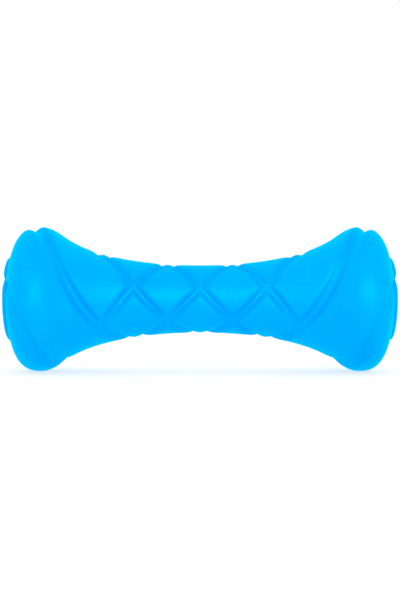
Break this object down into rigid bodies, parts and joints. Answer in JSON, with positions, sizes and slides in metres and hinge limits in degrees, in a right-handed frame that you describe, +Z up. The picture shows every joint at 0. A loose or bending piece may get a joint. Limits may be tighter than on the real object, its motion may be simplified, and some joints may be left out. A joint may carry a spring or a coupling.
{
  "type": "dog chew toy",
  "caption": "Dumbbell-shaped foamed rubber dog toy: two fat bulbs with end bosses, and a narrow grip wound with crossing helical grooves that leave lozenge pads.",
  "frame": {"origin": "middle of the long axis, halfway between the two end bosses", "axes": "+X along the toy, +Z up and +Y away from the viewer as it lies in the picture"},
  "size_m": [0.191, 0.072, 0.072],
  "materials": {
    "foam_rubber": "satin moulded skin, azure blue"
  },
  "bodies": {
    "root": {"body": "foam_rubber"}
  },
  "joints": []
}
